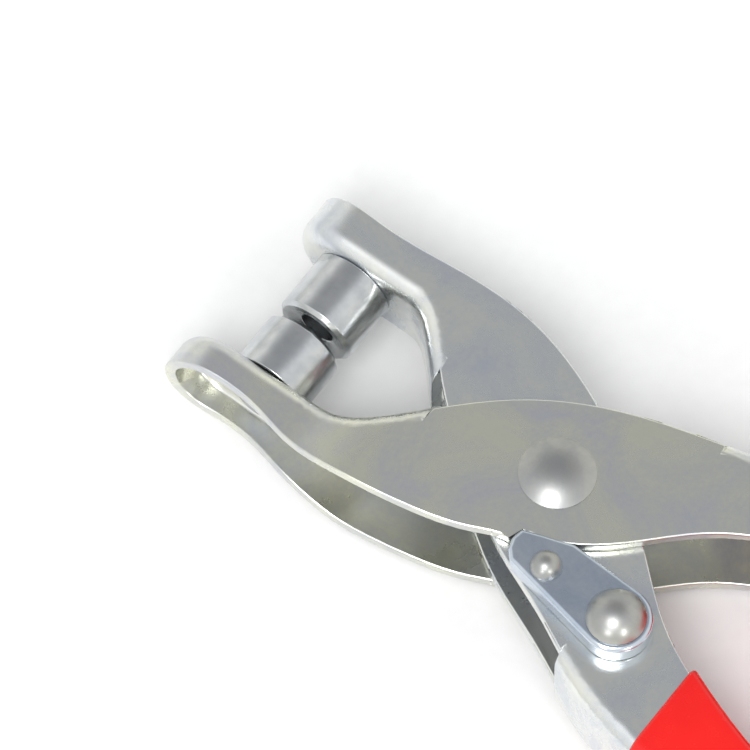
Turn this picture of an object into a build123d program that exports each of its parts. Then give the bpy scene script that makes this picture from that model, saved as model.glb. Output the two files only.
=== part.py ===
from build123d import *
import math
import os

# Eyelet-setting pliers: two pressed-steel U-channel levers crossing at one rivet, a pair of
# turned setting dies in the jaws, a torsion spring round the pivot, a swinging latch plate
# that holds the handles shut, and dipped vinyl grips.
#
# Frame: the origin lies on the pivot axis, in the flat face of the main rivet's back head.
# +X runs towards the handle ends, +Y towards the upper jaw, +Z along the pivot axis.
# The root body is the outer lever (lower jaw, handle at +Y). Everything is drawn latched shut.

# ---- Pressed levers ---------------------------------------------------------------------
sheet = 2.0                 # steel thickness
bend_radius = 3.2           # outside radius where web turns into flange
outer_width = 21.4          # outer lever, over its flanges at the pivot
flange_gap = 0.2            # side clearance between the nested flanges
jaw_width = 16.6            # outer lever, over its flanges at the jaw
handle_width = 17.0         # both levers, over the flanges under the grips
outer_nose_x = -65.0        # tip of the lower jaw
inner_nose_x = -61.8        # tip of the upper jaw
handle_end_x = 136.0        # bare end of both handles
joggle = (-42.0, -26.0)     # outer lever widens between these stations
narrowing = (31.0, 45.0)    # outer lever narrows again between these stations
outer_window = (-23.0, 19.0)   # stretch of the outer lever that has no web
inner_window = (-27.0, 18.5)   # stretch of the inner lever that has no web
outer_window_inset = 1.1    # the flanges are trimmed this far inside the web line in a window
inner_window_inset = 1.5
handle_corner = 4.5         # corner radius of the bare handle ends

# ---- Pivot ------------------------------------------------------------------------------
pivot_diameter = 8.0        # shank of the main rivet
running_clearance = 0.05    # radial, where a hole turns on a shank
back_head_height = 1.6
back_head_diameter = 12.0
dome_diameter = 12.8
dome_height = 2.0
bush_diameter = 11.0        # spacer tube between the inner lever's flanges
end_play = 0.1              # axial gap at each end of a turning stack

# ---- Opening spring ---------------------------------------------------------------------
wire = 1.6
coil_gap = 0.15             # between neighbouring turns
coil_turns = 4
coil_clearance = 0.4        # radial, between coil and spacer tube
leg_reach_x = 27.0          # station where the legs bear on the webs
leg_exit = 115.0            # degrees round the coil from +X to each leg's root
turn_steps = 16             # points per turn on the wire's centre line

# ---- Dies -------------------------------------------------------------------------------
die_x = -49.6               # the dies' common axis
die_diameter = 14.0
lower_die_height = 10.0
upper_die_height = 11.1
die_gap = 2.3               # between the die faces with the latch shut
lower_die_face_y = -1.8
die_chamfer = 0.7
die_shank = 7.0             # spigot through the web
die_tail = (9.0, 1.6)       # peened tail, diameter and height
bore_diameter = 6.2         # upper die, clears the eyelet's barrel
bore_depth = 7.0
cup_diameter = 10.4         # dished recess in the upper die's face
cup_depth = 0.9
pilot_diameter = 4.5        # lower die, locates the eyelet
pilot_height = 2.1
pilot_round = 0.7
groove_radius = 1.0         # ring groove that curls the eyelet
groove_circle = 8.2         # diameter on which the groove runs

# ---- Latch ------------------------------------------------------------------------------
latch_sheet = 1.6
latch_lift = 0.2            # plate clears the outer lever's flange by this
latch_pivot = (23.2, -15.5)
latch_shank = 5.0
latch_dome = (10.0, 3.3)    # diameter and height
latch_tail = (8.0, 1.4)
latch_tail_radius = 6.0     # round end of the plate
latch_bend = 0.9            # outside radius along the rim of the plate
latch_tip = [(10.2, -9.0), (4.9, -10.7), (1.7, -11.9), (1.3, -14.1), (1.9, -16.0)]
latch_tip_radius = 0.6
lip_end_x = 1.5             # the lip stops this far past the rivet on the inner side
spacer_diameter = 8.2
stud_place = (8.8, -15.0)
stud_dome = (5.4, 2.4)
stud_shank = 3.0
stud_tail = (3.8, 0.8)
lip_clearance = 0.25        # lip to the inner lever's flange
lip_start = (3.4, -17.6)    # the lip runs from here round the plate's tail

# ---- Grips ------------------------------------------------------------------------------
grip_start_x = 37.5
grip_coat = 1.2             # vinyl thickness

# ---- Worked out -------------------------------------------------------------------------
mid_z = back_head_height + outer_width / 2
inner_width = outer_width - 2 * (sheet + flange_gap)
lower_seat_y = lower_die_face_y - lower_die_height
upper_seat_y = lower_die_face_y + die_gap + upper_die_height
outer_front_z = mid_z + outer_width / 2
inner_front_z = mid_z + inner_width / 2
latch_under_z = outer_front_z + latch_lift
latch_top_z = latch_under_z + latch_sheet
start_x = outer_nose_x - 10
far = 150.0


def handle_x(share):
    """Station a share of the way from the pivot window's end to the bare handle end."""
    return narrowing[0] + share * (handle_end_x - narrowing[0])


# Plan outlines. Each lever's web line runs from the jaw's seat to the handle end, and its
# open edge follows at the depth of the flanges.
outer_web_points = [
    (-37.5, lower_seat_y), (-31.4, -9.5), (-26.9, -5.3), (-19.5, 2.5), (-12.3, 8.7),
    (-0.4, 15.4), (15.2, 20.5), (handle_x(0), 24.2), (handle_x(0.22), 28.7),
    (handle_x(0.5), 32.4), (handle_x(1), 34.5),
]
outer_jaw_edge = [
    (start_x, lower_seat_y - 7.9), (outer_nose_x, lower_seat_y - 7.6), (-54.6, lower_seat_y - 6.5),
    (-47.0, lower_seat_y - 7.0), (-40.5, lower_seat_y - 8.5), (-34.2, -21.0), (-27.3, -20.8),
    (-16.4, -19.2), (-5.4, -16.0), (0.8, -13.9),
]
outer_handle_edge = [
    (1.1, -11.3), (9.0, -9.0), (17.3, -2.4), (24.8, 5.0), (handle_x(0), 9.3),
    (handle_x(0.1), 13.6), (handle_x(0.25), 17.0), (handle_x(0.5), 20.2), (handle_x(1), 22.5),
]
inner_web_points = [
    (-38.5, upper_seat_y), (-33.9, 9.3), (-29.4, 4.7), (-21.0, -3.2), (-11.5, -10.3),
    (-2.3, -16.2), (9.5, -21.4), (17.4, -25.3), (27.6, -29.5), (handle_x(0.1), -32.6),
    (handle_x(0.3), -36.6), (handle_x(0.6), -40.2), (handle_x(1), -41.5),
]
inner_edge = [
    (start_x, upper_seat_y + 8.6), (inner_nose_x, upper_seat_y + 8.4), (-54.1, upper_seat_y + 8.2),
    (-48.4, upper_seat_y + 8.0), (-41.2, upper_seat_y + 8.3), (-35.0, 20.5), (-27.0, 20.8),
    (-18.0, 19.9), (-9.1, 17.3), (-1.5, 13.9), (8.5, 7.0), (18.5, -1.4), (25.6, -7.6),
    (handle_x(0), -11.5), (handle_x(0.07), -15.2), (handle_x(0.21), -20.4),
    (handle_x(0.5), -25.6), (handle_x(1), -28.5),
]


def smooth(points, start, end):
    """Curve through points that starts and ends along two unit vectors."""
    return Spline(*points, tangents=[start, end], tangent_scalars=[1, 1])


def beside(curve, distance):
    """Curve a set distance to the left of another, through points shifted along normals."""
    steps = 30
    points = []
    for i in range(steps + 1):
        here = curve @ (i / steps)
        along = curve % (i / steps)
        points.append((here.X - along.Y * distance, here.Y + along.X * distance))
    return smooth(points, curve % 0, curve % 1)


def spline(points):
    """Smooth curve that leaves its first and last points along X."""
    return smooth(points, (1, 0), (1, 0))


def web_line(points, shift):
    """The web's outside line in plan, shifted to the left of its run from jaw to handle."""
    bend = beside(spline(points), shift)
    start = bend @ 0
    return [Line((start_x, start.Y), (start.X, start.Y)), bend]


def plan(web_points, edges, side, grow=0.0, web_trim=0.0):
    """Plan outline. side is +1 where the channel opens to the left, -1 to the right."""
    web = web_line(web_points, side * (web_trim - grow))
    open_edges = edges if grow == 0 else [beside(e, side * grow) for e in edges]
    loop = web + list(open_edges)
    for one, two in zip(open_edges, open_edges[1:]):
        loop.append(Line(one @ 1, two @ 0))
    loop.append(Line(web[0] @ 0, open_edges[0] @ 0))
    web_end = web[1] @ 1
    open_end = open_edges[-1] @ 1
    beyond = handle_end_x + far
    loop.append(Polyline(web_end, (beyond, web_end.Y), (beyond, open_end.Y), open_end))
    return make_face(loop)


def hollow(web_points, side, depth):
    """Everything inside the web line, set in by depth: the channel's hollow in plan."""
    web = web_line(web_points, side * depth)
    end = web[1] @ 1
    begin = web[0] @ 0
    out = Polyline((end.X, end.Y), (end.X + far, end.Y), (end.X + far, side * far),
                   (begin.X, side * far), (begin.X, begin.Y))
    return make_face(web + [out])


def profile(stations, inset, end_x):
    """Side profile: round nose at the first station, then half widths joined by S-bends."""
    nose_x, nose_radius = stations[0]
    first = nose_radius - inset
    centre_x = nose_x + nose_radius
    half = []
    here = (centre_x, first)
    for x0, x1, width in stations[1:]:
        half.append(Line(here, (x0, here[1])))
        half.append(spline([(x0, here[1]), (x1, width - inset)]))
        here = (x1, width - inset)
    half.append(Line(here, (end_x, here[1])))
    half.append(CenterArc((centre_x, 0), first, 90, 90))
    end = Line((end_x, here[1]), (end_x, -here[1]))
    face = make_face(half + [end] + [mirror(edge, about=Plane.XZ) for edge in half])
    return Plane.XZ * Pos(0, mid_z) * face


def through_y(face):
    return extrude(face, amount=far, both=True)


def through_z(face):
    return Pos(0, 0, mid_z) * extrude(face, amount=far, both=True)


def round_web(solid, web, radius):
    """Round the long bends where the web turns into the flanges."""
    bends = []
    for edge in solid.edges():
        middle = edge @ 0.5
        along = edge % 0.5
        on_web = min(line.distance_to(Vertex(middle.X, middle.Y, 0)) for line in web) < 0.02
        if on_web and abs(along.Z) < 0.99:
            bends.append(edge)
    return fillet(bends, radius)


def slab(x0, x1, half_width=far):
    """A slice of space between two stations, as wide in Z as asked about the mid plane."""
    box = Box(x1 - x0, 4 * far, 2 * half_width)
    return Pos((x0 + x1) / 2, 0, mid_z) * box


def corner_waste(x, y, side, radius):
    """What is cut from a square handle end to round its corner at (x, y)."""
    centre = (x - radius, y - side * radius)
    square = Pos(x, y) * Rectangle(2 * radius, 2 * radius)
    keep = Pos(*centre) * Circle(radius)
    lead_in = Pos(x - 2 * radius, y) * Rectangle(2 * radius, 4 * radius)
    return through_z(square - keep - lead_in)


def channel(web_points, edges, side, stations, x0, x1, grow=0.0):
    """U-channel between two stations: its outer form, web rounded, and its hollow."""
    outside = through_z(plan(web_points, edges, side, grow)) & slab(x0, x1)
    outside = outside & through_y(profile(stations, -grow, far * 2))
    outside = round_web(outside, web_line(web_points, -side * grow), bend_radius + grow)
    inside = through_z(hollow(web_points, side, sheet + grow)) & slab(x0 - 1, x1 + 1)
    inside = inside & through_y(profile(stations, sheet + grow, far * 2))
    if x1 >= handle_end_x:
        web_end_y = (web_line(web_points, -side * grow)[1] @ 1).Y
        open_end_y = (edges[-1] @ 1).Y + side * grow
        outside = outside - corner_waste(x1, web_end_y, -side, handle_corner + grow)
        outside = outside - corner_waste(x1, open_end_y, side, handle_corner + grow)
    inner_radius = max(bend_radius - sheet - grow, 0.4)
    inside = round_web(inside, web_line(web_points, side * (sheet + grow)), inner_radius)
    return outside, inside


outer_edges = [spline(outer_jaw_edge), spline(outer_handle_edge)]
inner_edges = [spline(inner_edge)]

outer_stations = [
    (outer_nose_x, jaw_width / 2), (*joggle, outer_width / 2), (*narrowing, handle_width / 2),
]
inner_stations = [(inner_nose_x, inner_width / 2), (*narrowing, handle_width / 2)]


def cylinder(diameter, start, end, axis="Z", x=0.0, y=0.0, z=0.0):
    """Round bar between two stations along Z (at x, y) or along Y (at x, z)."""
    height = end - start
    bar = Cylinder(diameter / 2, height, align=(Align.CENTER, Align.CENTER, Align.MIN))
    if axis == "Z":
        return Pos(x, y, start) * bar
    return Pos(x, start, z) * Rot(-90, 0, 0) * bar


def dome(diameter, height):
    """Spherical cap standing on its flat, with the cap's rim at z = 0."""
    radius = (diameter ** 2 / 4 + height ** 2) / (2 * height)
    ball = Pos(0, 0, height - radius) * Sphere(radius)
    return ball & cylinder(diameter + 1, 0, height + 1)


def lever(web_points, edges, side, stations, window, width, trim):
    """One pressed lever: jaw and handle channels joined by the bare flanges of the window."""
    jaw = channel(web_points, edges, side, stations, start_x, window[0])
    handle = channel(web_points, edges, side, stations, window[1], handle_end_x)
    body = (jaw[0] - jaw[1]) + (handle[0] - handle[1])
    bare = through_z(plan(web_points, edges, side, web_trim=trim)) & slab(*window)
    flanges = bare & slab(*window, width / 2)
    flanges = flanges - slab(window[0] - 1, window[1] + 1, width / 2 - sheet)
    return body + flanges


def outer_lever():
    body = lever(outer_web_points, outer_edges, -1, outer_stations, outer_window, outer_width,
                 outer_window_inset)
    body = body - cylinder(pivot_diameter, -1, far)
    return body - cylinder(die_shank, lower_seat_y - far, lower_seat_y + 1, "Y", die_x, z=mid_z)


def inner_lever():
    body = lever(inner_web_points, inner_edges, 1, inner_stations, inner_window, inner_width,
                 inner_window_inset)
    body = body - cylinder(pivot_diameter + 2 * running_clearance, -1, far)
    body = body - cylinder(latch_shank, mid_z, far, x=latch_pivot[0], y=latch_pivot[1])
    return body - cylinder(die_shank, upper_seat_y - 1, upper_seat_y + far, "Y", die_x, z=mid_z)


def grip(web_points, edges, side, stations):
    """Vinyl dipped over a handle: it coats the channel's outside, inside and edges."""
    cover_end = handle_end_x + grip_coat
    bare = channel(web_points, edges, side, stations, grip_start_x - 1, handle_end_x)
    coat = channel(web_points, edges, side, stations, grip_start_x, cover_end, grip_coat)
    return (coat[0] - coat[1]) - (bare[0] - bare[1])


def main_rivet():
    """Back head, shank and dome, lathe-round about the pivot axis."""
    head = cylinder(back_head_diameter, 0, back_head_height)
    head = chamfer(head.edges().sort_by(Axis.Z)[0], 0.4)
    shank = cylinder(pivot_diameter, back_head_height, outer_front_z)
    return head + shank + Pos(0, 0, outer_front_z) * dome(dome_diameter, dome_height)


def pivot_bush():
    """Spacer tube that keeps the inner lever's flanges apart when the rivet is set."""
    half = inner_width / 2 - sheet - end_play
    tube = cylinder(bush_diameter, mid_z - half, mid_z + half)
    return tube - cylinder(pivot_diameter, -1, far)


def web_contact(web_points, side):
    """Where a spring leg's centre line meets the inside of a handle's web."""
    curve = web_line(web_points, side * (sheet + wire / 2))[1]
    reach = Line((leg_reach_x, -far), (leg_reach_x, far))
    return curve.find_intersection_points(reach)[0]


def opening_spring():
    """Torsion spring: one wire, straight from a handle's web, round the tube and out again."""
    coil_radius = bush_diameter / 2 + coil_clearance + wire / 2
    pitch = wire + coil_gap
    turns = coil_turns + (360 - 2 * leg_exit) / 360
    rise = pitch * turns
    helix = Pos(0, 0, mid_z - rise / 2) * Rot(0, 0, leg_exit) * Helix(pitch, rise, coil_radius)
    steps = round(turns * turn_steps)
    coil = [helix @ (i / steps) for i in range(steps + 1)]
    legs = []
    ends = [(coil[0], outer_web_points, -1), (coil[-1], inner_web_points, 1)]
    for root, web_points, side in ends:
        contact = web_contact(web_points, side)
        foot = Vector(contact.X, contact.Y, root.Z)
        legs.append([foot + (root - foot) * share for share in (0, 0.5, 0.9)])
    path = Spline(*legs[0], *coil, *reversed(legs[1]))
    return sweep(Plane(origin=path @ 0, z_dir=path % 0) * Circle(wire / 2), path=path)


def die_blank(height):
    """Turned die standing on z = 0: body, spigot through the web, and peened tail."""
    body = cylinder(die_diameter, 0, height)
    body = chamfer(body.edges().sort_by(Axis.Z)[-1], die_chamfer)
    spigot = cylinder(die_shank, -sheet, 0)
    tail = cylinder(die_tail[0], -sheet - die_tail[1], -sheet)
    tail = chamfer(tail.edges().sort_by(Axis.Z)[0], die_tail[1] / 2)
    return body + spigot + tail


def lower_die():
    """Anvil with a pilot for the eyelet and a ring groove that curls it."""
    die = die_blank(lower_die_height)
    ring = Torus(groove_circle / 2, groove_radius)
    die = die - Pos(0, 0, lower_die_height) * ring
    pilot = cylinder(pilot_diameter, lower_die_height - groove_radius,
                     lower_die_height + pilot_height)
    pilot = fillet(pilot.edges().sort_by(Axis.Z)[-1], pilot_round)
    return Pos(die_x, lower_seat_y, mid_z) * Rot(-90, 0, 0) * (die + pilot)


def upper_die():
    """Die with a dished face and a bore that takes the pilot."""
    die = die_blank(upper_die_height)
    rim = upper_die_height
    dish = loft([Pos(0, 0, rim) * Circle(cup_diameter / 2),
                 Pos(0, 0, rim - cup_depth) * Circle(bore_diameter / 2)])
    die = die - dish - cylinder(bore_diameter, rim - bore_depth, rim + 1)
    return Pos(die_x, upper_seat_y, mid_z) * Rot(90, 0, 0) * die


def tangent_point(point, centre, radius, turn):
    """Where a line from a point touches a circle; turn is +1 or -1 for the two sides."""
    dx, dy = point[0] - centre[0], point[1] - centre[1]
    angle = math.atan2(dy, dx) + turn * math.acos(radius / math.hypot(dx, dy))
    return centre[0] + radius * math.cos(angle), centre[1] + radius * math.sin(angle)


def latch_outline():
    """Tapered plate: a blunt hooked tip at the notch and a round tail about its rivet."""
    shoulder, *tip = latch_tip
    top = tangent_point(shoulder, latch_pivot, latch_tail_radius, -1)
    low = tangent_point(lip_start, latch_pivot, latch_tail_radius, 1)
    far_side = (latch_pivot[0] + latch_tail_radius, latch_pivot[1])
    return make_face([
        Line(top, shoulder), Polyline(shoulder, *tip, lip_start), Line(lip_start, low),
        ThreePointArc(low, far_side, top),
    ])


def latch_plate():
    """Flat plate with a lip turned down along its outer side and round its tail."""
    lip_foot = inner_front_z + lip_clearance
    face = latch_outline()
    corners = face.vertices().filter_by(lambda v: v.X < lip_start[0] + 0.1)
    face = fillet(corners, latch_tip_radius)
    blank = Pos(0, 0, lip_foot) * extrude(face, latch_top_z - lip_foot)
    rim = blank.faces().sort_by(Axis.Z)[-1].edges()
    blank = fillet(rim, latch_bend)
    under = latch_under_z - lip_foot
    low = tangent_point(lip_start, latch_pivot, latch_tail_radius, 1)
    along = Vector(low[0] - lip_start[0], low[1] - lip_start[1]).normalized()
    inward = Vector(-along.Y, along.X) * latch_sheet
    corner = Vector(*lip_start) + inward
    round_core = Pos(*latch_pivot) * Circle(latch_tail_radius - latch_sheet)
    touch = Vector(*low) + inward
    open_side = Polyline(
        (touch.X, touch.Y), (corner.X, corner.Y), (corner.X, corner.Y - far), (-far, -far),
        (-far, far), (latch_pivot[0] + lip_end_x, far), (latch_pivot[0] + lip_end_x, touch.Y),
        (touch.X, touch.Y),
    )
    for cut in (round_core, make_face(open_side)):
        blank = blank - Pos(0, 0, lip_foot) * extrude(cut, under)
    plate = blank - cylinder(latch_shank + 2 * running_clearance, 0, far,
                             x=latch_pivot[0], y=latch_pivot[1])
    return plate - cylinder(stud_shank, 0, far, x=stud_place[0], y=stud_place[1])


def latch_rivet():
    """Dome-headed rivet on which the latch turns, its tail set inside the channel."""
    flange_back = inner_front_z - sheet
    shank = cylinder(latch_shank, flange_back, latch_top_z + end_play)
    tail = cylinder(latch_tail[0], flange_back - latch_tail[1], flange_back)
    tail = chamfer(tail.edges().sort_by(Axis.Z)[0], latch_tail[1] / 2)
    head = Pos(0, 0, latch_top_z + end_play) * dome(*latch_dome)
    return Pos(*latch_pivot) * (shank + tail + head)


def latch_spacer():
    """Washer that lifts the latch plate to the outer lever's level."""
    top = latch_under_z - end_play
    ring = cylinder(spacer_diameter, inner_front_z, top) - cylinder(latch_shank, 0, far)
    return Pos(*latch_pivot) * ring


def latch_stud():
    """Small domed thumb stud riveted through the plate."""
    shank = cylinder(stud_shank, latch_under_z, latch_top_z)
    tail = cylinder(stud_tail[0], latch_under_z - stud_tail[1], latch_under_z)
    return Pos(*stud_place) * (shank + tail + Pos(0, 0, latch_top_z) * dome(*stud_dome))


nodes = {
    "outer_lever": outer_lever,
    "inner_lever": inner_lever,
    "outer_grip": lambda: grip(outer_web_points, outer_edges, -1, outer_stations),
    "inner_grip": lambda: grip(inner_web_points, inner_edges, 1, inner_stations),
    "main_rivet": main_rivet,
    "pivot_bush": pivot_bush,
    "opening_spring": opening_spring,
    "lower_die": lower_die,
    "upper_die": upper_die,
    "latch_plate": latch_plate,
    "latch_rivet": latch_rivet,
    "latch_spacer": latch_spacer,
    "latch_stud": latch_stud,
}

os.makedirs("parts", exist_ok=True)
for name, make in nodes.items():
    solid = make()
    export_step(solid, f"parts/{name}.step")
    print(f"{name}: {solid.volume:.1f} mm3")
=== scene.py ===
# %% [markdown]
# # Eyelet-setting pliers
# A hand tool of two pressed-steel levers that cross at a rivet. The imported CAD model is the
# frame: it holds every size and place. This script dresses it for a render. Each cell makes
# one piece or one finish and prints what it made.

# %% Load the frame
import math
import bmesh
import bpy
import numpy as np
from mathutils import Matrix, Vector


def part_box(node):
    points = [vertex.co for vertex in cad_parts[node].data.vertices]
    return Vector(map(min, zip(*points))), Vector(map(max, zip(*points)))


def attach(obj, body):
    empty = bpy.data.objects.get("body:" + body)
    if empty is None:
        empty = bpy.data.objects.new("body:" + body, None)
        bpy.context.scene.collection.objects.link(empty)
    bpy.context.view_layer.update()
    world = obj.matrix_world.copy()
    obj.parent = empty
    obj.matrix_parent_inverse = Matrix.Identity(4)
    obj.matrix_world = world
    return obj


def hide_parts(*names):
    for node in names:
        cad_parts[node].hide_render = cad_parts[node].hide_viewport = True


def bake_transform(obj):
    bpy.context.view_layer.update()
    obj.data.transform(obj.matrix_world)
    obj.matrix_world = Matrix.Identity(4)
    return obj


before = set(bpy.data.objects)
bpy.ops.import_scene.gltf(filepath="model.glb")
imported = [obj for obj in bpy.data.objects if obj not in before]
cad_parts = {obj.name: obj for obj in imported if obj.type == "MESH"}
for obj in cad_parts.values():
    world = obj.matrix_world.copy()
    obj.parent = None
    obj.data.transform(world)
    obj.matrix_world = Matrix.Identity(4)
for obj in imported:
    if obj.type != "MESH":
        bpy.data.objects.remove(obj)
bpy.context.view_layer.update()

# %% [markdown]
# Blender works in metres and the drawing of a hand tool in millimetres, so one factor turns
# the one into the other. The mid plane of both levers and the height of the outer lever's
# front face are read from the frame.

# %% Units and reference planes
MM = 0.001
STEEL = 2.0 * MM          # thickness of the pressed steel
COAT = 1.2 * MM           # thickness of the vinyl dip
low_flange, high_flange = (corner[2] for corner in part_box("outer_lever"))
mid_z = (low_flange + high_flange) / 2
print(f"mid plane at {mid_z / MM:.2f} mm, front face at {high_flange / MM:.2f} mm")

# %% [markdown]
# Colours are written the way a paint shop's screen shows them, as sRGB hex values. Shaders
# want linear light, so one function does the change. The other helpers add one node with its
# settings, start a material, and make a colour ramp.

# %% Colour and node helpers


def colour(hex_text):
    """Linear RGBA of an sRGB hex colour: each channel is undone from the sRGB curve."""
    srgb = np.array([int(hex_text[i:i + 2], 16) for i in (1, 3, 5)]) / 255
    linear = np.where(srgb <= 0.04045, srgb / 12.92, ((srgb + 0.055) / 1.055) ** 2.4)
    return (*linear.tolist(), 1.0)


def add(tree, kind, inputs=None, **settings):
    """Adds a node with its settings; an input given as a socket is linked, else it is set."""
    node = tree.nodes.new(kind)
    for name, value in settings.items():
        setattr(node, name, value)
    for name, value in (inputs or {}).items():
        if isinstance(value, bpy.types.NodeSocket):
            tree.links.new(value, node.inputs[name])
        else:
            node.inputs[name].default_value = value
    return node


def new_material(name):
    """An empty material with its output and one Principled shader, joined."""
    material = bpy.data.materials.new(name)
    material.use_nodes = True
    tree = material.node_tree
    tree.nodes.clear()
    shader = add(tree, "ShaderNodeBsdfPrincipled")
    add(tree, "ShaderNodeOutputMaterial", {"Surface": shader.outputs["BSDF"]})
    return material, tree, shader


def ramp(tree, factor, stops):
    """A colour ramp through (position, linear RGBA) stops."""
    node = add(tree, "ShaderNodeValToRGB", {"Fac": factor})
    elements = node.color_ramp.elements
    while len(elements) < len(stops):
        elements.new(0.5)
    for element, (position, rgba) in zip(elements, stops):
        element.position = position
        element.color = rgba
    return node.outputs["Color"]


def cycles_per_metre(size_mm):
    """Noise scale that puts one blob in a given real size, for Object coordinates in metres."""
    return 1 / (size_mm * MM)


# %% [markdown]
# **Zinc-plated pressed steel.** The levers are cold-pressed from sheet and barrel-plated with
# bright zinc. The eye sees a blue-grey metal that is neither mirror nor matt: large soft
# clouds from the rolled sheet, faint yellow-green passivation, and a fine spangle. The metal
# keeps the default IOR; clouds and spangle are noise at their real sizes.

# %% Zinc-plated steel


def zinc_plate(name, cool, warm, roughness, ripple):
    """Plated sheet: cool and warm clouds, a fine spangle, uneven gloss, and a rolled ripple.

    The clouds are about 16 mm across, the spangle 1 mm and the ripple 20 mm.
    """
    material, tree, shader = new_material(name)
    place = add(tree, "ShaderNodeTexCoord").outputs["Object"]
    clouds = add(tree, "ShaderNodeTexNoise",
                 {"Vector": place, "Scale": cycles_per_metre(16), "Detail": 6.0,
                  "Roughness": 0.62, "Distortion": 0.6}).outputs["Fac"]
    spangle = add(tree, "ShaderNodeTexNoise",
                  {"Vector": place, "Scale": cycles_per_metre(1.0), "Detail": 4.0,
                   "Roughness": 0.6}).outputs["Fac"]
    mix = add(tree, "ShaderNodeMath", {0: spangle, 1: 0.18, 2: clouds},
              operation="MULTIPLY_ADD").outputs[0]
    cool_end, warm_end = 0.44, 0.70
    tint = ramp(tree, mix, [(cool_end, colour(cool)), (warm_end, colour(warm))])
    tree.links.new(tint, shader.inputs["Base Color"])
    rough = add(tree, "ShaderNodeMapRange",
                {"Value": mix, "From Min": 0.40, "From Max": 0.75, "To Min": roughness * 1.25,
                 "To Max": roughness * 0.8}).outputs["Result"]
    tree.links.new(rough, shader.inputs["Roughness"])
    shader.inputs["Metallic"].default_value = 1.0
    waves = add(tree, "ShaderNodeTexNoise",
                {"Vector": place, "Scale": cycles_per_metre(20), "Detail": 2.0}).outputs["Fac"]
    rolled = add(tree, "ShaderNodeBump",
                 {"Height": waves, "Distance": ripple}).outputs["Normal"]
    crystals = add(tree, "ShaderNodeBump",
                   {"Height": spangle, "Distance": 0.006 * MM, "Normal": rolled}).outputs["Normal"]
    tree.links.new(crystals, shader.inputs["Normal"])
    return material


outer_zinc = zinc_plate("zinc_plated_outer_lever", "#c9cbd0", "#e6e6d6", 0.29, 0.35 * MM)
inner_zinc = zinc_plate("zinc_plated_inner_lever", "#ccd1da", "#e8e9e4", 0.27, 0.35 * MM)
latch_zinc = zinc_plate("zinc_plated_latch", "#b4c0d0", "#d0d8e2", 0.22, 0.10 * MM)
rivet_zinc = zinc_plate("bright_zinc_rivet", "#a3a5a6", "#b8b7b1", 0.34, 0.10 * MM)
print("zinc finishes:", *(m.name for m in (outer_zinc, inner_zinc, latch_zinc, rivet_zinc)))

# %% [markdown]
# **Turned, nickel-bright steel.** The dies come off a lathe: each surface carries fine rings
# about its own axis, which spread highlights into bands. The rings follow the distance along
# the lathe profile, which every turned piece stores as an attribute in millimetres. Real feed
# marks are about 0.1 mm apart, too fine to show, so they are drawn 0.35 mm apart.

# %% Turned steel


def turned_steel(name, base, roughness, pitch_mm, depth):
    """Lathe finish: rings of the given pitch, from noise stretched along the profile."""
    material, tree, shader = new_material(name)
    along = add(tree, "ShaderNodeAttribute", attribute_name="profile_mm").outputs["Fac"]
    rings = add(tree, "ShaderNodeTexNoise",
                {"W": along, "Scale": 1 / pitch_mm, "Detail": 4.0, "Roughness": 0.7},
                noise_dimensions="1D").outputs["Fac"]
    place = add(tree, "ShaderNodeTexCoord").outputs["Object"]
    smears = add(tree, "ShaderNodeTexNoise",
                 {"Vector": place, "Scale": cycles_per_metre(3), "Detail": 3.0}).outputs["Fac"]
    tint = ramp(tree, smears, [(0.35, colour(base)), (0.75, colour("#b9bcc0"))])
    tree.links.new(tint, shader.inputs["Base Color"])
    rough = add(tree, "ShaderNodeMapRange",
                {"Value": smears, "From Min": 0.3, "From Max": 0.7, "To Min": roughness * 0.8,
                 "To Max": roughness * 1.3}).outputs["Result"]
    tree.links.new(rough, shader.inputs["Roughness"])
    shader.inputs["Metallic"].default_value = 1.0
    bump = add(tree, "ShaderNodeBump",
               {"Height": rings, "Distance": depth, "Strength": 1.0}).outputs["Normal"]
    tree.links.new(bump, shader.inputs["Normal"])
    return material


die_steel = turned_steel("turned_nickel_bright_steel", "#cfd1d2", 0.20, 0.35, 0.010 * MM)
wire_steel = turned_steel("oiled_music_wire", "#8a8b8d", 0.30, 0.5, 0.006 * MM)
print("turned finishes:", die_steel.name, wire_steel.name)

# %% [markdown]
# **Dipped vinyl.** The handles are dipped hot into liquid PVC, which sets to a thick glossy
# skin: saturated red, a clear sharp highlight, and a very slight orange-peel unevenness.

# %% Dipped vinyl


def dipped_vinyl(name, base, deep):
    """Glossy soft plastic with a faint orange peel and a slow colour drift, at random rather than by
    thickness.
    """
    material, tree, shader = new_material(name)
    place = add(tree, "ShaderNodeTexCoord").outputs["Object"]
    drift = add(tree, "ShaderNodeTexNoise",
                {"Vector": place, "Scale": cycles_per_metre(22), "Detail": 2.0}).outputs["Fac"]
    tree.links.new(ramp(tree, drift, [(0.3, colour(base)), (0.8, colour(deep))]),
                   shader.inputs["Base Color"])
    peel = add(tree, "ShaderNodeTexNoise",
               {"Vector": place, "Scale": cycles_per_metre(2.5), "Detail": 2.0}).outputs["Fac"]
    rough = add(tree, "ShaderNodeMapRange",
                {"Value": peel, "From Min": 0.3, "From Max": 0.7, "To Min": 0.20,
                 "To Max": 0.30}).outputs["Result"]
    tree.links.new(rough, shader.inputs["Roughness"])
    shader.inputs["IOR"].default_value = 1.53
    bump = add(tree, "ShaderNodeBump",
               {"Height": peel, "Distance": 0.006 * MM, "Strength": 1.0}).outputs["Normal"]
    tree.links.new(bump, shader.inputs["Normal"])
    return material


red_vinyl = dipped_vinyl("dipped_red_vinyl", "#f01810", "#d80c0a")
print("plastic finish:", red_vinyl.name)

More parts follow.
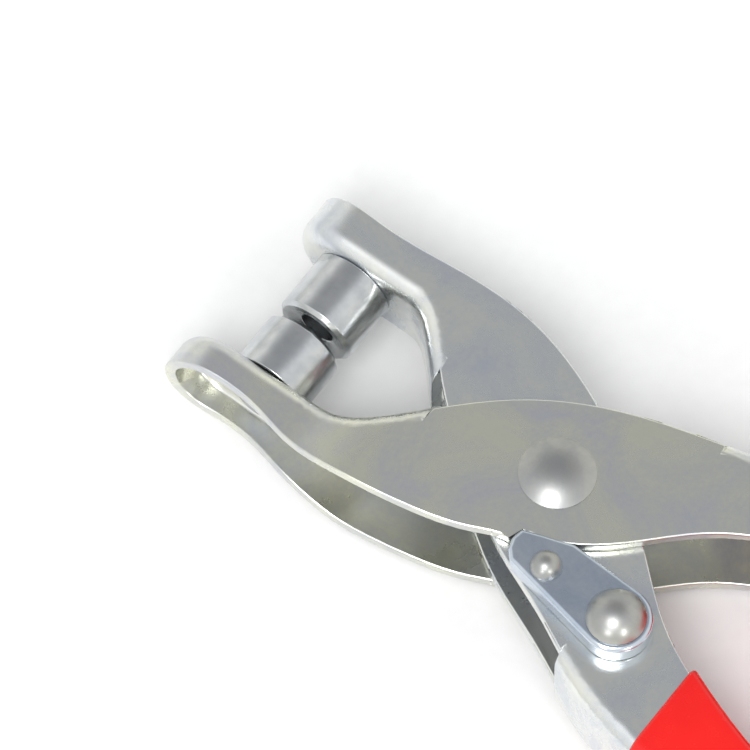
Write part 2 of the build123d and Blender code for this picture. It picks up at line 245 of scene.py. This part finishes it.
# %% [markdown]
# **From arrays to a mesh.** Every new piece is a grid of points worked out with numpy. One
# function turns the grid into a mesh: rows of points become rings of quads, and a row that
# has shrunk to one point becomes a fan, so poles are closed. A signed volume tells whether
# the faces look outwards; if it is negative, the order of their corners is reversed.

# %% Mesh helpers


def signed_volume(points, triangles):
    """Sum over triangles of corner . (corner x corner) / 6, positive if they face outwards."""
    a, b, c = (points[triangles[:, i]] for i in range(3))
    return float((a * np.cross(b, c)).sum() / 6)


def build(name, points, faces, smooth_angle=35.0):
    """Object from points and faces, facing outwards, smooth except at sharp edges."""
    fan = np.concatenate([f[:, [0, i, i + 1]] for f in faces for i in range(1, f.shape[1] - 1)])
    if signed_volume(points, fan) < 0:
        faces = [f[:, ::-1] for f in faces]
    mesh = bpy.data.meshes.new(name)
    mesh.from_pydata(points, [], [face for f in faces for face in f.tolist()])
    mesh.validate()
    mesh.shade_smooth()
    mesh.set_sharp_from_angle(angle=math.radians(smooth_angle))
    piece = bpy.data.objects.new(name, mesh)
    bpy.context.scene.collection.objects.link(piece)
    return piece


def ring_quads(rows, columns, first=0, wrap_rows=False):
    """Quads between rows of a grid whose columns wrap round; the rows may wrap as well."""
    count = rows if wrap_rows else rows - 1
    row = np.arange(count)[:, None]
    column = np.arange(columns)[None, :]
    here = row * columns + column
    across = row * columns + (column + 1) % columns
    down = ((row + 1) % rows) * columns
    quads = np.stack([here, across, down + (column + 1) % columns, down + column], axis=-1)
    return quads.reshape(-1, 4) + first


def rounded_corners(corners, steps=6):
    """Polyline through (x, y, radius) corners, each replaced by an arc of its radius."""
    given = np.array([c[:2] for c in corners], float)
    out = [given[:1]]
    for before, here, after, corner in zip(given, given[1:], given[2:], corners[1:-1]):
        radius = corner[2]
        into = (here - before) / np.linalg.norm(here - before)
        away = (after - here) / np.linalg.norm(after - here)
        turn = math.acos(float(np.clip(into @ away, -1, 1)))
        if radius <= 0 or turn < 0.01:
            out.append(here[None])
            continue
        reach = radius * math.tan(turn / 2)
        side = np.sign(into[0] * away[1] - into[1] * away[0])
        centre = here - into * reach + side * radius * np.array([-into[1], into[0]])
        start = here - into * reach - centre
        angle = side * turn * np.linspace(0, 1, steps)[:, None]
        out.append(centre + start * np.cos(angle)
                   + np.array([-start[1], start[0]]) * np.sin(angle))
    out.append(given[-1:])
    return np.concatenate(out)


def placed(profile, heights, angles, centre, axis):
    """Points of a surface of revolution: radius times (cos, sin) about an axis, plus height."""
    radius = profile[:, None]
    level = np.broadcast_to(heights[:, None], (len(heights), len(angles)))
    first, second = radius * np.cos(angles), radius * np.sin(angles)
    if axis == "Z":
        grid = np.stack([first, second, level], axis=-1)
    elif axis == "Y":
        grid = np.stack([second, level, first], axis=-1)
    else:
        grid = np.stack([first, -level, second], axis=-1)
    return grid.reshape(-1, 3) + np.array(centre)


def lathe(name, corners, centre, axis="Z", segments=96, closed=False):
    """Turned piece: a (radius, height, corner radius) outline swept round an axis.

    The outline starts and ends on the axis, or, if closed, is a loop that never meets it.
    Lengths are in millimetres. The distance along the outline is kept as profile_mm.
    """
    if closed:
        corners = [*corners, corners[0], corners[1]]
        outline = rounded_corners(corners)[1:-1]
    else:
        outline = rounded_corners(corners)
    keep = np.r_[True, np.linalg.norm(np.diff(outline, axis=0), axis=1) > 1e-6]
    outline = outline[keep]
    steps = np.r_[0, np.linalg.norm(np.diff(outline, axis=0), axis=1).cumsum()]
    angles = np.arange(segments) * 2 * math.pi / segments
    if closed:
        points = placed(outline[:, 0] * MM, outline[:, 1] * MM, angles, centre, axis)
        faces = [ring_quads(len(outline), segments, wrap_rows=True)]
        along = np.repeat(steps, segments)
    else:
        rings = outline[1:-1]
        points = placed(rings[:, 0] * MM, rings[:, 1] * MM, angles, centre, axis)
        poles = placed(np.zeros(2), outline[[0, -1], 1] * MM, angles[:1], centre, axis)
        points = np.concatenate([points, poles])
        last = len(rings) * segments
        ring = np.arange(segments)
        following = (ring + 1) % segments
        top = (len(rings) - 1) * segments
        faces = [
            ring_quads(len(rings), segments),
            np.stack([np.full(segments, last), following, ring], axis=-1),
            np.stack([np.full(segments, last + 1), ring + top, following + top], axis=-1),
        ]
        along = np.r_[np.repeat(steps[1:-1], segments), steps[0], steps[-1]]
    piece = build(name, points, faces)
    stored = piece.data.attributes.new("profile_mm", "FLOAT", "POINT")
    stored.data.foreach_set("value", along.astype(np.float32))
    return piece


def finish_piece(piece, body, slot, material, *nodes):
    """Paints a piece, makes it ride on its body and lets it stand for its CAD nodes."""
    piece.data.materials.clear()
    piece.data.materials.append(material)
    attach(piece, body)
    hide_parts(*nodes)
    lows, highs = zip(*(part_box(node) for node in nodes))
    low = np.min(lows, axis=0) / MM
    high = np.max(highs, axis=0) / MM
    points = np.empty(len(piece.data.vertices) * 3)
    piece.data.vertices.foreach_get("co", points)
    points = points.reshape(-1, 3) / MM
    spare = max((low - points.min(0)).max(), (points.max(0) - high).max())
    print(f"{piece.name}: {len(points)} points, reaches {spare:+.2f} mm past its CAD box")


# %% [markdown]
# **The pressed levers and the latch plate.** Their shape comes from the press tool and is
# already right in the CAD model, but a real sheet edge is never knife-sharp: the press and
# the plating barrel leave it slightly round, and that is where the bright rim light sits. A
# copy of the CAD mesh is welded, its flat faces are joined, and a Bevel modifier rounds the
# edges. Rounding in the shader would be cheaper, but would not be in the exported mesh. The
# second modifier lets large faces decide the normals, so flat sheet still shades flat.

# %% Levers and latch plate


def edge_rows(mesh):
    """Arrays of a closed mesh: vertex places, edge ends, and the two face normals per edge."""
    places = np.empty(len(mesh.vertices) * 3)
    mesh.vertices.foreach_get("co", places)
    ends = np.empty(len(mesh.edges) * 2, int)
    mesh.edges.foreach_get("vertices", ends)
    normals = np.empty(len(mesh.polygons) * 3)
    mesh.polygons.foreach_get("normal", normals)
    corners = np.empty(len(mesh.polygons), int)
    mesh.polygons.foreach_get("loop_total", corners)
    edge_of_corner = np.empty(len(mesh.loops), int)
    mesh.loops.foreach_get("edge_index", edge_of_corner)
    face_of_corner = np.repeat(np.arange(len(corners)), corners)
    sides = face_of_corner[np.argsort(edge_of_corner, kind="stable")].reshape(-1, 2)
    return places.reshape(-1, 3), ends.reshape(-1, 2), normals.reshape(-1, 3)[sides]


def bevel_weights(mesh, edge_angle, corner_angle, clear):
    """1 on sharp edges, but 0 within a clear distance of a corner where such edges meet.

    An edge is sharp when its two faces turn by more than edge_angle. A corner is a vertex
    where other than two sharp edges meet, or where two meet and turn by over corner_angle:
    there the unit vectors along them add up to more than 2 sin(corner_angle / 2).
    """
    places, ends, normals = edge_rows(mesh)
    sharp = (normals[:, 0] * normals[:, 1]).sum(1) < math.cos(math.radians(edge_angle))
    a, b = places[ends[sharp]].transpose(1, 0, 2)
    along = (b - a) / np.linalg.norm(b - a, axis=1, keepdims=True)
    pull = np.zeros_like(places)
    np.add.at(pull, ends[sharp][:, 0], along)
    np.add.at(pull, ends[sharp][:, 1], -along)
    meeting = np.bincount(ends[sharp].ravel(), minlength=len(places))
    bent = np.linalg.norm(pull, axis=1) > 2 * math.sin(math.radians(corner_angle / 2))
    corners = places[(meeting > 0) & ((meeting != 2) | bent)]
    middles = (a + b) / 2
    if len(corners):
        apart = np.linalg.norm(middles[:, None] - corners[None], axis=2).min(1)
    else:
        apart = np.full(len(middles), np.inf)
    weights = np.zeros(len(sharp), np.float32)
    weights[sharp] = apart > clear
    return weights


def softened_copy(name, node, edge_radius):
    """Copy of a CAD node with its loose triangles welded and its sharp edges rounded."""
    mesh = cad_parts[node].data.copy()
    mesh.name = name
    if "custom_normal" in mesh.attributes:
        mesh.attributes.remove(mesh.attributes["custom_normal"])
    work = bmesh.new()
    work.from_mesh(mesh)
    bmesh.ops.remove_doubles(work, verts=work.verts, dist=0.002 * MM)
    bmesh.ops.dissolve_limit(work, angle_limit=math.radians(0.3), verts=work.verts,
                             edges=work.edges)
    work.to_mesh(mesh)
    work.free()
    mesh.shade_smooth()
    mesh.set_sharp_from_angle(angle=math.radians(55))
    weights = bevel_weights(mesh, 55, 30, 0.9 * MM)
    stored = mesh.attributes.new("bevel_weight_edge", "FLOAT", "EDGE")
    stored.data.foreach_set("value", weights)
    piece = bpy.data.objects.new(name, mesh)
    bpy.context.scene.collection.objects.link(piece)
    bevel = piece.modifiers.new("rounded sheet edges", "BEVEL")
    bevel.limit_method = "WEIGHT"
    bevel.width = edge_radius
    bevel.segments = 3
    bevel.use_clamp_overlap = False
    even = piece.modifiers.new("shade by face area", "WEIGHTED_NORMAL")
    even.weight = 50
    even.keep_sharp = True
    print(f"{name}: {len(mesh.polygons)} faces, {int(weights.sum())} edges rounded")
    return piece


outer_pressing = softened_copy("outer_lever_pressing", "outer_lever", 0.3 * MM)
finish_piece(outer_pressing, "outer_side", "zinc_plated_steel", outer_zinc, "outer_lever")
inner_pressing = softened_copy("inner_lever_pressing", "inner_lever", 0.3 * MM)
finish_piece(inner_pressing, "inner_side", "zinc_plated_steel", inner_zinc, "inner_lever")
latch_pressing = softened_copy("latch_plate_pressing", "latch_plate", 0.15 * MM)
finish_piece(latch_pressing, "latch", "zinc_plated_steel", latch_zinc, "latch_plate")

# %% [markdown]
# **Rivets, studs and rings.** These are turned or headed from bar, so a lathe outline swept
# round their axis is their true shape. A dome is a circular arc through its rim and its top.
# Its foot is undercut by a hair where the die that headed it left a line.

# %% Rivets, stud, washer and spacer tube


def dome_outline(radius, height, foot, steps=14):
    """Arc from a dome's rim to its top: radius R = (r^2 + h^2) / 2h about a point below it."""
    ball = (radius ** 2 + height ** 2) / (2 * height)
    widest = math.asin(radius / ball)
    angle = np.linspace(widest, 0.0, steps)
    return [(ball * math.sin(a), foot + height - ball + ball * math.cos(a), 0.0) for a in angle]


def centre_of(node):
    """Middle of a node's box in plan, at z = 0."""
    low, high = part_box(node)
    return ((low[0] + high[0]) / 2, (low[1] + high[1]) / 2, 0.0)


front = high_flange / MM
main_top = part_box("main_rivet")[1][2] / MM
main_dome_radius = (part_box("main_rivet")[1][0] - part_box("main_rivet")[0][0]) / 2 / MM
back_head, shank = 6.0, 4.0
main_outline = [
    (0, 0, 0), (back_head - 0.4, 0, 0.3), (back_head, 0.4, 0.2), (back_head, 1.58, 0.1),
    (shank, 1.6, 0), (shank, front, 0),
    (main_dome_radius - 0.25, front, 0.0), (main_dome_radius, front + 0.12, 0.0),
    *dome_outline(main_dome_radius, main_top - front - 0.12, front + 0.12)[1:],
]
main_rivet = lathe("main_rivet_turned", main_outline, (0, 0, 0))
finish_piece(main_rivet, "outer_side", "rivet_steel", rivet_zinc, "main_rivet")

bush_low, bush_high = (corner[2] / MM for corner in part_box("pivot_bush"))
bush_bore, bush_radius = 4.02, 5.5
bush_outline = [(bush_bore, bush_low, 0.2), (bush_radius, bush_low, 0.3),
                (bush_radius, bush_high, 0.3), (bush_bore, bush_high, 0.2)]
pivot_bush = lathe("pivot_bush_tube", bush_outline, (0, 0, 0), closed=True)
finish_piece(pivot_bush, "outer_side", "zinc_plated_steel", latch_zinc, "pivot_bush")

rivet_low, rivet_high = (corner[2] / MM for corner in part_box("latch_rivet"))
plate_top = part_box("latch_plate")[1][2] / MM
latch_dome_radius = (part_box("latch_rivet")[1][0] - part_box("latch_rivet")[0][0]) / 2 / MM
dome_foot = plate_top + 0.1
latch_rivet_outline = [
    (0, rivet_low, 0), (3.3, rivet_low, 0.4), (4.0, rivet_low + 0.7, 0.3),
    (4.0, rivet_low + 1.4, 0.1), (2.5, rivet_low + 1.4, 0), (2.5, dome_foot, 0),
    (latch_dome_radius - 0.25, dome_foot, 0), (latch_dome_radius, dome_foot + 0.15, 0),
    *dome_outline(latch_dome_radius, rivet_high - dome_foot - 0.15, dome_foot + 0.15)[1:],
]
latch_rivet = lathe("latch_rivet_domed", latch_rivet_outline, centre_of("latch_rivet"))
finish_piece(latch_rivet, "inner_side", "rivet_steel", rivet_zinc, "latch_rivet")

washer_low, washer_high = (corner[2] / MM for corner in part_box("latch_spacer"))
washer_bore, washer_radius = 2.52, 4.1
washer_outline = [(washer_bore, washer_low, 0.1), (washer_radius, washer_low, 0.2),
                  (washer_radius, washer_high, 0.2), (washer_bore, washer_high, 0.1)]
latch_spacer = lathe("latch_spacer_washer", washer_outline, centre_of("latch_spacer"), closed=True)
finish_piece(latch_spacer, "inner_side", "zinc_plated_steel", latch_zinc, "latch_spacer")

stud_low, stud_high = (corner[2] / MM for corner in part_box("latch_stud"))
stud_radius = (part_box("latch_stud")[1][0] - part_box("latch_stud")[0][0]) / 2 / MM
stud_tail, stud_shank = 1.9, 1.5
stud_outline = [
    (0, stud_low, 0), (stud_tail, stud_low, 0.2), (stud_tail, stud_low + 0.8, 0.1),
    (stud_shank, stud_low + 0.8, 0), (stud_shank, plate_top, 0), (stud_radius - 0.15, plate_top, 0),
    *dome_outline(stud_radius, stud_high - plate_top - 0.05, plate_top + 0.05),
]
latch_stud = lathe("latch_stud_domed", stud_outline, centre_of("latch_stud"))
finish_piece(latch_stud, "latch", "rivet_steel", rivet_zinc, "latch_stud")

# %% [markdown]
# **The setting dies.** The eyelet sits on the lower die's pilot; the upper die's dished face
# and bore spread its barrel. Both are lathe outlines about the jaw axis, which runs along Y.
# Each ends in a tail that was peened over inside the jaw.

# %% Dies

die_low, die_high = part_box("lower_die")
die_centre_x = (die_low[0] + die_high[0]) / 2
die_radius = (die_high[0] - die_low[0]) / 2 / MM
tail_height, tail_radius, spigot_radius, chamfer = 1.6, 4.5, 3.5, 0.7
seat = die_low[1] / MM + tail_height + STEEL / MM
pilot_top = die_high[1] / MM
pilot_height, pilot_radius, pilot_round = 2.1, 2.25, 0.7
groove_start, groove_radius = 3.1, 1.0
lower_face = pilot_top - pilot_height
groove = [(groove_start + groove_radius * (1 - math.cos(a)), lower_face - groove_radius * math.sin(a),
           0.0) for a in np.linspace(math.pi, 0, 12)]
lower_outline = [
    (0, seat - 3.6, 0), (3.7, seat - 3.6, 0.4), (tail_radius, seat - 2.8, 0.3),
    (tail_radius, seat - 2.0, 0.1), (spigot_radius, seat - 2.0, 0), (spigot_radius, seat, 0),
    (die_radius, seat, 0.25), (die_radius, lower_face - chamfer, 0.15),
    (die_radius - chamfer, lower_face, 0.15), *groove,
    (pilot_radius, lower_face, 0.1), (pilot_radius, pilot_top, pilot_round), (0, pilot_top, 0),
]
lower_die = lathe("lower_die_turned", lower_outline, (die_centre_x, 0, mid_z), "Y", 128)
finish_piece(lower_die, "outer_side", "die_steel", die_steel, "lower_die")

upper_low, upper_high = (corner[1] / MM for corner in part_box("upper_die"))
upper_seat = upper_high - tail_height - STEEL / MM
cup_radius, cup_depth, bore_radius, bore_depth = 5.2, 0.9, 3.1, 7.0
upper_outline = [
    (0, upper_low + bore_depth, 0), (bore_radius, upper_low + bore_depth, 0.3),
    (bore_radius, upper_low + cup_depth, 0.3), (cup_radius, upper_low, 0.2),
    (die_radius - chamfer, upper_low, 0.15), (die_radius, upper_low + chamfer, 0.15),
    (die_radius, upper_seat, 0.25), (spigot_radius, upper_seat, 0),
    (spigot_radius, upper_seat + 2.0, 0), (tail_radius, upper_seat + 2.0, 0.1),
    (tail_radius, upper_seat + 2.8, 0.3), (3.7, upper_seat + 3.6, 0.4), (0, upper_seat + 3.6, 0),
]
upper_die = lathe("upper_die_turned", upper_outline, (die_centre_x, 0, mid_z), "Y", 128)
finish_piece(upper_die, "inner_side", "die_steel", die_steel, "upper_die")

# %% [markdown]
# ** The opening spring.** Music wire, wound round the spacer tube with a straight leg to each
# handle. A tube swept along leg, helix and leg is one smooth surface. It winds up as the
# handles close; here it is attached to neither lever's body and keeps one shape.

# %% Opening spring

wire_radius = 0.8
coil_play = 0.4
coil_radius = bush_radius + coil_play + wire_radius
leg_degrees = 115
leg_angle = math.radians(leg_degrees)
spring_low, spring_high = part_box("opening_spring")
turns = 4 + (360 - 2 * leg_degrees) / 360
rise = (spring_high[2] - spring_low[2]) / MM - 2 * wire_radius
coil_low = spring_low[2] / MM + wire_radius


def tube(name, path, radius, sides=14):
    """Round bar along a path that never runs along Z: ring = path + r (cos n + sin b)."""
    tangent = np.gradient(path, axis=0)
    tangent /= np.linalg.norm(tangent, axis=1, keepdims=True)
    normal = np.cross(tangent, [0.0, 0.0, 1.0])
    normal /= np.linalg.norm(normal, axis=1, keepdims=True)
    binormal = np.cross(normal, tangent)
    angle = (np.arange(sides) * 2 * math.pi / sides)[None, :, None]
    round_end = np.array([0.55, 0.9])
    size = np.ones(len(path))
    size[:2], size[-2:] = round_end, round_end[::-1]
    size = (radius * size)[:, None, None]
    ring_place = np.cos(angle) * normal[:, None] + np.sin(angle) * binormal[:, None]
    grid = path[:, None] + size * ring_place
    points = np.concatenate([grid.reshape(-1, 3), path[[0, -1]]]) * MM
    ring = np.arange(sides)
    following = (ring + 1) % sides
    last = len(path) * sides
    top = last - sides
    caps = [np.stack([np.full(sides, last), ring, following], axis=-1),
            np.stack([np.full(sides, last + 1), following + top, ring + top], axis=-1)]
    piece = build(name, points, [ring_quads(len(path), sides), *caps])
    steps = np.r_[0, np.linalg.norm(np.diff(path, axis=0), axis=1).cumsum()]
    along = np.r_[np.repeat(steps, sides), steps[[0, -1]]]
    stored = piece.data.attributes.new("profile_mm", "FLOAT", "POINT")
    stored.data.foreach_set("value", along.astype(np.float32))
    return piece


coil_steps, leg_steps = 260, 24
turn_angle = np.linspace(leg_angle, leg_angle + turns * 2 * math.pi, coil_steps)
coil = np.stack([coil_radius * np.cos(turn_angle), coil_radius * np.sin(turn_angle),
                 coil_low + rise * np.linspace(0, 1, coil_steps)], axis=-1)
leg_reach = spring_high[0] / MM - 0.3
upper_foot = np.array([leg_reach, spring_high[1] / MM - wire_radius - 0.1, coil_low])
lower_foot = np.array([leg_reach, spring_low[1] / MM + wire_radius + 0.1, coil_low + rise])
share = np.linspace(0, 1, leg_steps)[:, None]
first_leg = upper_foot + (coil[0] - upper_foot) * share
last_leg = coil[-1] + (lower_foot - coil[-1]) * share
spring = tube("opening_spring_wire", np.concatenate([first_leg[:-1], coil, last_leg[1:]]),
              wire_radius)
spring.data.materials.append(wire_steel)
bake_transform(spring)
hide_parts("opening_spring")
print(f"spring of {turns:.2f} turns, {len(spring.data.vertices)} points")

# %% [markdown]
# **The dipped grips.** A handle dipped in hot vinyl keeps the shape of its channel, but every
# edge comes out fat and round. A U-shaped loop with rounded corners, carried along the
# handle, gives that in one smooth surface. The loop's width and height at each station are
# measured on the CAD grip, by cutting its triangles with a plane.

# %% Grips


def cut_extent(node, x):
    """Lowest and highest Y and Z where a plane at station x cuts a node's edges."""
    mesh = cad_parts[node].data
    points = np.empty(len(mesh.vertices) * 3)
    mesh.vertices.foreach_get("co", points)
    points = points.reshape(-1, 3)
    edges = np.empty(len(mesh.edges) * 2, int)
    mesh.edges.foreach_get("vertices", edges)
    a, b = points[edges.reshape(-1, 2)].transpose(1, 0, 2)
    crossing = (a[:, 0] - x) * (b[:, 0] - x) < 0
    a, b = a[crossing], b[crossing]
    share = (x - a[:, :1]) / (b[:, :1] - a[:, :1])
    cut = a + (b - a) * share
    return cut[:, 1].min(), cut[:, 1].max(), cut[:, 2].min(), cut[:, 2].max()


def u_loop(depth, half, wall, inset):
    """Rounded U: depth from the web's back to the open edge, half its width, all in mm."""
    near, far_edge, out = inset, depth - inset, half - inset
    inner = half - wall + inset
    back = wall - inset
    bend = min(4.2, out * 0.6)
    tip = min(1.7, (out - inner) * 0.46)
    loop = [
        (near, 0, 0), (near, out, bend), (far_edge, out, tip), (far_edge, inner, tip),
        (back, inner, 1.0), (back, 0, 0), (back, -inner, 1.0), (far_edge, -inner, tip),
        (far_edge, -out, tip), (near, -out, bend), (near, 0, 0),
    ]
    return rounded_corners(loop, 8)[:-1]


def dipped_grip(name, node, web_is_high):
    """The U loop carried along a handle, its two ends closed by a rounded face."""
    low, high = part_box(node)
    length = high[0] - low[0]
    wall = (STEEL + 2 * COAT) / MM
    lip, cap = 0.9 * MM, 1.3 * MM
    even = np.linspace(0, 1, 70)
    stations = low[0] + lip + (length - lip - cap) * (1 - (1 - even) ** 1.6)
    loops = []
    near_start = np.linspace(0, math.pi / 2, 5)[:-1]
    near_end = np.linspace(0, math.pi / 2, 7)[1:]
    plan = [(low[0] + lip * (1 - math.cos(a)), lip / MM * (1 - math.sin(a))) for a in near_start]
    plan += [(x, 0.0) for x in stations]
    plan += [(high[0] - cap * (1 - math.sin(a)), cap / MM * (1 - math.cos(a))) for a in near_end]
    for x, inset in plan:
        at = min(max(x, low[0] + 0.05 * MM), high[0] - cap)
        y_low, y_high, z_low, z_high = (value / MM for value in cut_extent(node, at))
        loop = u_loop(y_high - y_low, (z_high - z_low) / 2, wall, inset)
        y = y_high - loop[:, 0] if web_is_high else y_low + loop[:, 0]
        loops.append(np.stack([np.full(len(loop), x / MM), y, mid_z / MM + loop[:, 1]], axis=-1))
    grid = np.array(loops)
    rows, columns = grid.shape[:2]
    ends = [np.arange(columns)[None, :], (np.arange(columns) + (rows - 1) * columns)[None, ::-1]]
    return build(name, grid.reshape(-1, 3) * MM, [ring_quads(rows, columns), *ends])


outer_grip = dipped_grip("outer_grip_vinyl", "outer_grip", True)
finish_piece(outer_grip, "outer_side", "red_vinyl", red_vinyl, "outer_grip")
inner_grip = dipped_grip("inner_grip_vinyl", "inner_grip", False)
finish_piece(inner_grip, "inner_side", "red_vinyl", red_vinyl, "inner_grip")

# %% [markdown]
# **Floor and light.** The tool lies on a plain pale table in a white room. Metal shows what
# surrounds it: flat plates would mirror the bright ceiling and wash out, so a grey card hangs
# where they look. A large soft box near the camera keeps shadows small, and two narrow strips
# low on the camera's side put the pair of bright spots on every rivet head.

# %% Floor, lights and world


def table_top(half):
    """A square table at z = 0, with a dull near-white finish and faint fibres."""
    mesh = bpy.data.meshes.new("table")
    corners = [(-half, -half, 0), (half, -half, 0), (half, half, 0), (-half, half, 0)]
    mesh.from_pydata(corners, [], [(0, 1, 2, 3)])
    table = bpy.data.objects.new("table", mesh)
    bpy.context.scene.collection.objects.link(table)
    material, tree, shader = new_material("matt_white_card")
    place = add(tree, "ShaderNodeTexCoord").outputs["Object"]
    fibres = add(tree, "ShaderNodeTexNoise",
                 {"Vector": place, "Scale": cycles_per_metre(3), "Detail": 3.0}).outputs["Fac"]
    tree.links.new(ramp(tree, fibres, [(0.2, colour("#f6f6f6")), (0.8, colour("#fafafa"))]),
                   shader.inputs["Base Color"])
    shader.inputs["Roughness"].default_value = 0.9
    mesh.materials.append(material)


def soft_box(name, place, target, size, power):
    """A rectangular area light that faces its target."""
    light = bpy.data.lights.new(name, "AREA")
    light.shape = "RECTANGLE"
    light.size, light.size_y = size
    light.energy = power
    lamp = bpy.data.objects.new(name, light)
    lamp.location = place
    lamp.rotation_euler = (Vector(target) - Vector(place)).to_track_quat("-Z", "Y").to_euler()
    bpy.context.scene.collection.objects.link(lamp)


pivot = (0, 0, 0)
strip_size, strip_power = (0.16, 0.22), 1.1
table_top(3.0)
soft_box("key soft box", (0.12, -0.50, 0.95), pivot, (0.45, 0.45), 4.5)
soft_box("left strip", (0.14, -0.90, 0.48), pivot, strip_size, strip_power)
soft_box("right strip", (0.80, -0.38, 0.48), pivot, strip_size, strip_power)

card_direction = (-0.25, 0.34, 0.91)
world = bpy.data.worlds.new("pale studio")
world.use_nodes = True
bpy.context.scene.world = world
sky = world.node_tree
sky.nodes.clear()
direction = add(sky, "ShaderNodeTexCoord").outputs["Generated"]
level = add(sky, "ShaderNodeSeparateXYZ", {"Vector": direction}).outputs["Z"]
glow = ramp(sky, level, [(0.0, colour("#e6e8e2")), (0.35, colour("#fdfdf9")),
                         (1.0, colour("#f4f6fa"))])
towards_card = add(sky, "ShaderNodeVectorMath", {0: direction, 1: card_direction},
                   operation="DOT_PRODUCT").outputs["Value"]
strength = add(sky, "ShaderNodeMapRange",
               {"Value": towards_card, "From Min": 0.72, "From Max": 0.97, "To Min": 1.0,
                "To Max": 0.47}, interpolation_type="SMOOTHSTEP").outputs["Result"]
background = add(sky, "ShaderNodeBackground", {"Color": glow, "Strength": strength})
add(sky, "ShaderNodeOutputWorld", {"Surface": background.outputs["Background"]})
print("stage set")

# %% [markdown]
# **Camera.** A long lens from well away, looking down steeply with the handles running off
# the corner of the frame, as a catalogue shows the working end of such a tool. The lens
# follows from how wide a strip of the pivot's plane the view takes in.

# %% Camera

azimuth, elevation = math.radians(36.8), math.radians(65)
distance = 3.0
view_width = 120.97 * MM
pivot_front = Vector((0, 0, high_flange))
pivot_across, pivot_down = 29.435 * MM, 15.806 * MM
forward = Vector((-math.sin(azimuth) * math.cos(elevation),
                  math.cos(azimuth) * math.cos(elevation), -math.sin(elevation)))
right = forward.cross(Vector((0, 0, 1))).normalized()
up = right.cross(forward)
aim = pivot_front - right * pivot_across + up * pivot_down
camera = bpy.data.cameras.new("catalogue camera")
camera.sensor_width = 36
camera.lens = camera.sensor_width * distance / view_width
viewer = bpy.data.objects.new("catalogue camera", camera)
viewer.location = aim - forward * distance
viewer.rotation_euler = forward.to_track_quat("-Z", "Y").to_euler()
bpy.context.scene.collection.objects.link(viewer)
bpy.context.scene.camera = viewer
bpy.context.scene.view_settings.view_transform = "Standard"
print(f"lens {camera.lens:.0f} mm at {distance} m")
